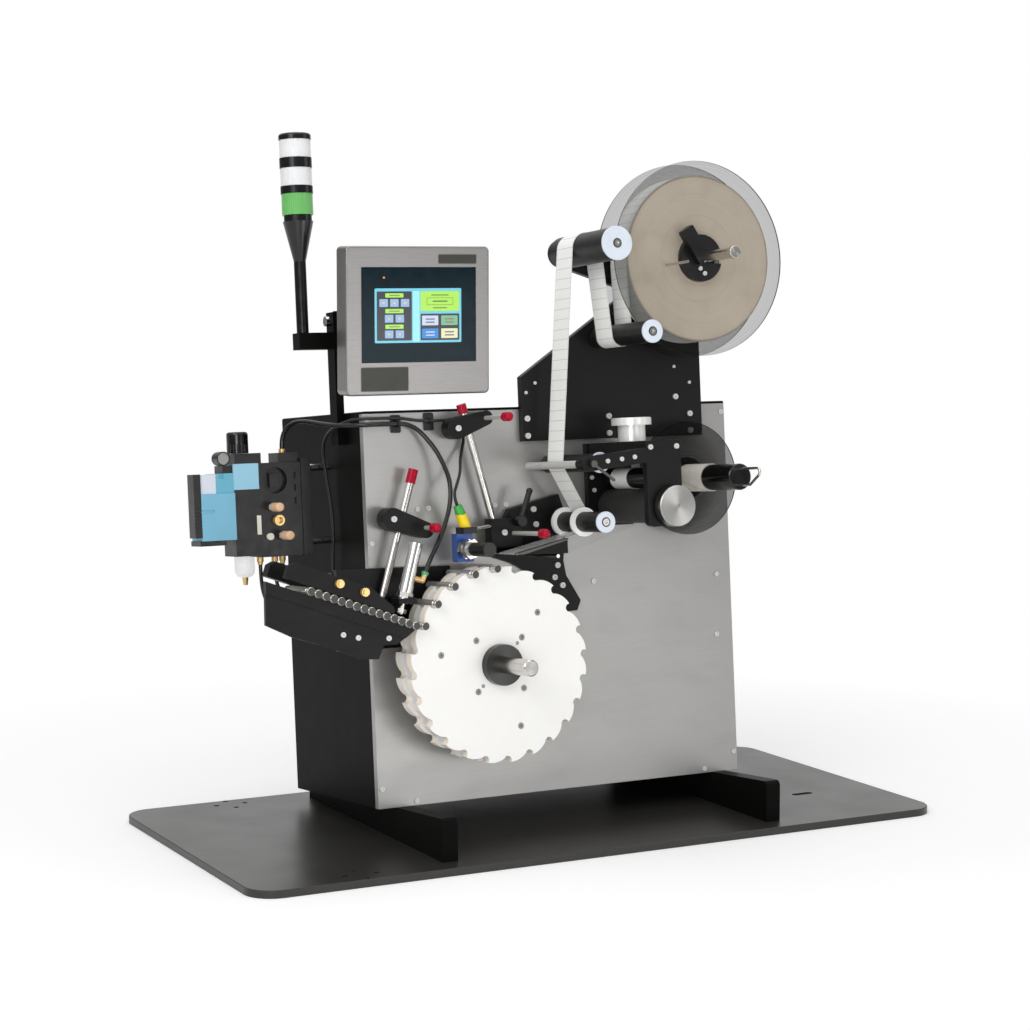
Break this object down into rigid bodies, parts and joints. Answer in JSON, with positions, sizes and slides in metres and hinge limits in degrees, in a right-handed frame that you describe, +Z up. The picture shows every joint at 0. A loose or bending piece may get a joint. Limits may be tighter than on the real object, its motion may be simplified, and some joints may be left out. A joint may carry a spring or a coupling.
{
  "type": "label dispenser machine",
  "caption": "Tabletop machine that peels labels from a reel and applies them to small tubes carried past the peel edge by a toothed wheel.",
  "frame": {"origin": "middle of the base plate's underside", "axes": "+Z up, +X to the operator's right along the base plate, -Y towards the operator"},
  "size_m": [1.211, 0.6008, 1.1105],
  "materials": {
    "base_plate": "satin grey-brown powder coat",
    "skids": "black powder coat",
    "cabinet_shell": "black powder coat",
    "rear_panel": "black powder coat",
    "front_plate": "brushed and clear anodised",
    "machine_screws": "stainless",
    "supply_plate": "black anodised",
    "hmi_post": "black powder coat",
    "beacon_column": "black",
    "beacon_lenses": "green and clear translucent lenses",
    "valve_manifold": "black anodised",
    "valve_body": "light blue enamel",
    "filter_bowl": "clear polycarbonate",
    "air_fittings": "brass and sintered bronze",
    "chute_frame": "black anodised",
    "chute_tubes": "polished metal product tubes",
    "clamp_arms": "black anodised",
    "clamp_rod_top": "ground steel with a red grip",
    "sensor_block": "blue block, chrome thread, black carrier",
    "sensor_connector": "yellow plug with a green gland",
    "air_cylinder": "stainless body, brass elbow",
    "peel_plate": "ground steel blade on a black wedge",
    "web_plate": "black anodised",
    "dead_shafts": "ground steel",
    "nip_bracket": "black anodised",
    "label_web": "white blank labels on liner",
    "air_hoses": "black polyurethane tube",
    "signal_cables": "black cable",
    "tie_mounts": "black",
    "gearmotors": "painted grey",
    "drive_belt": "black belt",
    "star_discs": "white machined polyethylene",
    "star_hub": "turned steel and black boss",
    "wheel_tubes": "polished metal product tubes",
    "reel_discs": "clear acrylic",
    "reel_hub": "black",
    "label_roll": "edges of wound label stock",
    "top_roller": "black sleeve with a pale bearing cap",
    "lower_roller": "black sleeve with a pale bearing cap",
    "idler_roller": "black sleeve with a pale bearing cap",
    "collar_roller": "black sleeve, white collars and cap",
    "drive_roller": "black grip sleeve on steel",
    "drive_knob": "turned face",
    "nip_roller": "black",
    "rewind_mandrel": "black gloss anodised",
    "rewind_disc": "smoked clear acrylic",
    "wound_liner": "glassine liner",
    "wire_bail": "bent wire",
    "pressure_knob": "turned, clear anodised",
    "ball_lever_left": "red grip on a steel shank",
    "ball_lever_top": "red grip on a steel shank",
    "ball_lever_low": "red grip on a steel shank",
    "clamp_rod_left": "ground steel with a red grip",
    "hold_down_rails": "black anodised with brass thumb nuts",
    "hmi_housing": "brushed stainless",
    "hmi_panel": "dark bezel and touch screen",
    "regulator_knob": "black",
    "cylinder_pin": "ground steel",
    "ratchet_lever": "black",
    "guide_lever": "chrome"
  },
  "bodies": {
    "frame": {"base_plate": "base_plate", "skids": "skids", "cabinet_shell": "cabinet_shell", "rear_panel": "rear_panel", "front_plate": "front_plate", "machine_screws": "machine_screws", "supply_plate": "supply_plate", "hmi_post": "hmi_post", "beacon_column": "beacon_column", "beacon_lenses": "beacon_lenses", "valve_manifold": "valve_manifold", "valve_body": "valve_body", "filter_bowl": "filter_bowl", "air_fittings": "air_fittings", "chute_frame": "chute_frame", "chute_tubes": "chute_tubes", "clamp_arms": "clamp_arms", "clamp_rod_top": "clamp_rod_top", "sensor_block": "sensor_block", "sensor_connector": "sensor_connector", "air_cylinder": "air_cylinder", "peel_plate": "peel_plate", "web_plate": "web_plate", "dead_shafts": "dead_shafts", "nip_bracket": "nip_bracket", "label_web": "label_web", "air_hoses": "air_hoses", "signal_cables": "signal_cables", "tie_mounts": "tie_mounts", "gearmotors": "gearmotors", "drive_belt": "drive_belt"},
    "star_wheel": {"star_discs": "star_discs", "star_hub": "star_hub", "wheel_tubes": "wheel_tubes"},
    "supply_reel": {"reel_discs": "reel_discs", "reel_hub": "reel_hub", "label_roll": "label_roll"},
    "top_roller": {"top_roller": "top_roller"},
    "lower_roller": {"lower_roller": "lower_roller"},
    "idler_roller": {"idler_roller": "idler_roller"},
    "collar_roller": {"collar_roller": "collar_roller"},
    "drive": {"drive_roller": "drive_roller", "drive_knob": "drive_knob"},
    "pressed_roller": {"nip_roller": "nip_roller"},
    "rewind": {"rewind_mandrel": "rewind_mandrel", "rewind_disc": "rewind_disc", "wound_liner": "wound_liner"},
    "bail": {"wire_bail": "wire_bail"},
    "pressure_screw": {"pressure_knob": "pressure_knob"},
    "lever_left": {"ball_lever_left": "ball_lever_left"},
    "lever_top": {"ball_lever_top": "ball_lever_top"},
    "lever_low": {"ball_lever_low": "ball_lever_low"},
    "hold_down": {"clamp_rod_left": "clamp_rod_left", "hold_down_rails": "hold_down_rails"},
    "operator_panel": {"hmi_housing": "hmi_housing", "hmi_panel": "hmi_panel"},
    "regulator": {"regulator_knob": "regulator_knob"},
    "pin": {"cylinder_pin": "cylinder_pin"},
    "ratchet": {"ratchet_lever": "ratchet_lever"},
    "guide_handle": {"guide_lever": "guide_lever"}
  },
  "joints": [
    {"name": "star_spin", "type": "hinge", "parent": "frame", "child": "star_wheel", "pos_m": [-0.1455, -0.14054, 0.28658], "axis": [0, 0.9961, -0.0882], "continuous": true},
    {"name": "reel_spin", "type": "hinge", "parent": "frame", "child": "supply_reel", "pos_m": [0.2455, -0.08504, 0.91333], "axis": [0, 0.9961, -0.0882], "continuous": true},
    {"name": "top_roller_spin", "type": "hinge", "parent": "frame", "child": "top_roller", "pos_m": [0.04, -0.08372, 0.92827], "axis": [0, 0.9961, -0.0882], "continuous": true},
    {"name": "lower_roller_spin", "type": "hinge", "parent": "frame", "child": "lower_roller", "pos_m": [0.098, -0.09578, 0.79201], "axis": [0, 0.9961, -0.0882], "continuous": true},
    {"name": "idler_roller_spin", "type": "hinge", "parent": "frame", "child": "idler_roller", "pos_m": [-0.004, -0.1135, 0.59189], "axis": [0, 0.9961, -0.0882], "continuous": true},
    {"name": "collar_roller_spin", "type": "hinge", "parent": "frame", "child": "collar_roller", "pos_m": [0.011, -0.12169, 0.49945], "axis": [0, 0.9961, -0.0882], "continuous": true},
    {"name": "drive_spin", "type": "hinge", "parent": "frame", "child": "drive", "pos_m": [0.1115, -0.11988, 0.51987], "axis": [0, 0.9961, -0.0882], "continuous": true},
    {"name": "pressed_roller_spin", "type": "hinge", "parent": "frame", "child": "pressed_roller", "pos_m": [0.1115, -0.11595, 0.5643], "axis": [0, 0.9961, -0.0882], "continuous": true},
    {"name": "rewind_spin", "type": "hinge", "parent": "frame", "child": "rewind", "pos_m": [0.2428, -0.11633, 0.56001], "axis": [0, 0.9961, -0.0882], "continuous": true},
    {"name": "bail_slide", "type": "slide", "parent": "rewind", "child": "bail", "axis": [0, -0.9961, 0.0882], "range_m": [0, 0.11]},
    {"name": "pressure_turn", "type": "hinge", "parent": "frame", "child": "pressure_screw", "pos_m": [0.1115, -0.12895, 0.64416], "axis": [0, 0.0882, 0.9961], "range_deg": [-180, 180]},
    {"name": "lever_left_turn", "type": "hinge", "parent": "frame", "child": "lever_left", "pos_m": [-0.2365, -0.11649, 0.5015], "axis": [0, 0.9961, -0.0882], "range_deg": [-90, 90]},
    {"name": "lever_top_turn", "type": "hinge", "parent": "frame", "child": "lever_top", "pos_m": [-0.1245, -0.10176, 0.66785], "axis": [0, 0.9961, -0.0882], "range_deg": [-90, 90]},
    {"name": "lever_low_turn", "type": "hinge", "parent": "frame", "child": "lever_low", "pos_m": [-0.0835, -0.1179, 0.48556], "axis": [0, 0.9961, -0.0882], "range_deg": [-90, 90]},
    {"name": "hold_down_slide", "type": "slide", "parent": "frame", "child": "hold_down", "axis": [0.3044, 0.084, 0.9488], "range_m": [0, 0.02]},
    {"name": "panel_tilt", "type": "hinge", "parent": "frame", "child": "operator_panel", "pos_m": [-0.3195, 0.05348, 0.81674], "axis": [1, 0, 0], "range_deg": [-25, 12]},
    {"name": "regulator_turn", "type": "hinge", "parent": "frame", "child": "regulator", "pos_m": [-0.4712, 0.10059, 0.62885], "axis": [0, 0.0882, 0.9961], "range_deg": [0, 270]},
    {"name": "pin_slide", "type": "slide", "parent": "frame", "child": "pin", "axis": [0.285, 0.0845, 0.9548], "range_m": [-0.005, 0.006]},
    {"name": "ratchet_turn", "type": "hinge", "parent": "frame", "child": "ratchet", "pos_m": [-0.076, -0.10531, 0.50302], "axis": [0, 0.9961, -0.0882], "range_deg": [-60, 60]},
    {"name": "guide_handle_turn", "type": "hinge", "parent": "frame", "child": "guide_handle", "pos_m": [-0.0275, -0.24814, 0.602], "axis": [0, -0.9961, 0.0882], "range_deg": [0, 90]}
  ],
  "couplings": [
    {"joint": "pressed_roller_spin", "follows": "drive_spin", "ratio": -1.6463},
    {"joint": "rewind_spin", "follows": "drive_spin", "ratio": 1}
  ]
}
